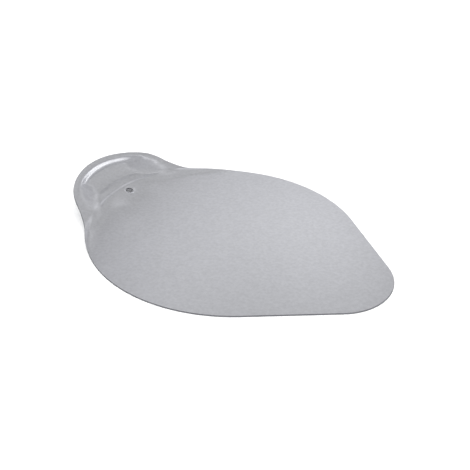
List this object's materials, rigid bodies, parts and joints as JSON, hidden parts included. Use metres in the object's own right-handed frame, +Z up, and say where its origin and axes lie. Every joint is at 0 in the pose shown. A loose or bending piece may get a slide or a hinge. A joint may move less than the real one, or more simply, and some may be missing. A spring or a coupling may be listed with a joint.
{
  "type": "cake lifter",
  "caption": "Wide flat sheet-metal lifter with a rounded tip, a raised lipped handle with a thumb pocket, and a hanging hole.",
  "frame": {"origin": "on the flat underside of the blade, at the blade's widest place, on the centre line", "axes": "+X along the centre line towards the tip, +Y to the left when looking from the handle to the tip, +Z up out of the face that carries the cake"},
  "size_m": [0.3489, 0.254, 0.0287],
  "materials": {
    "sheet": "satin, as rolled, with a fine even grain"
  },
  "bodies": {
    "root": {"lifter_sheet": "sheet"}
  },
  "joints": []
}
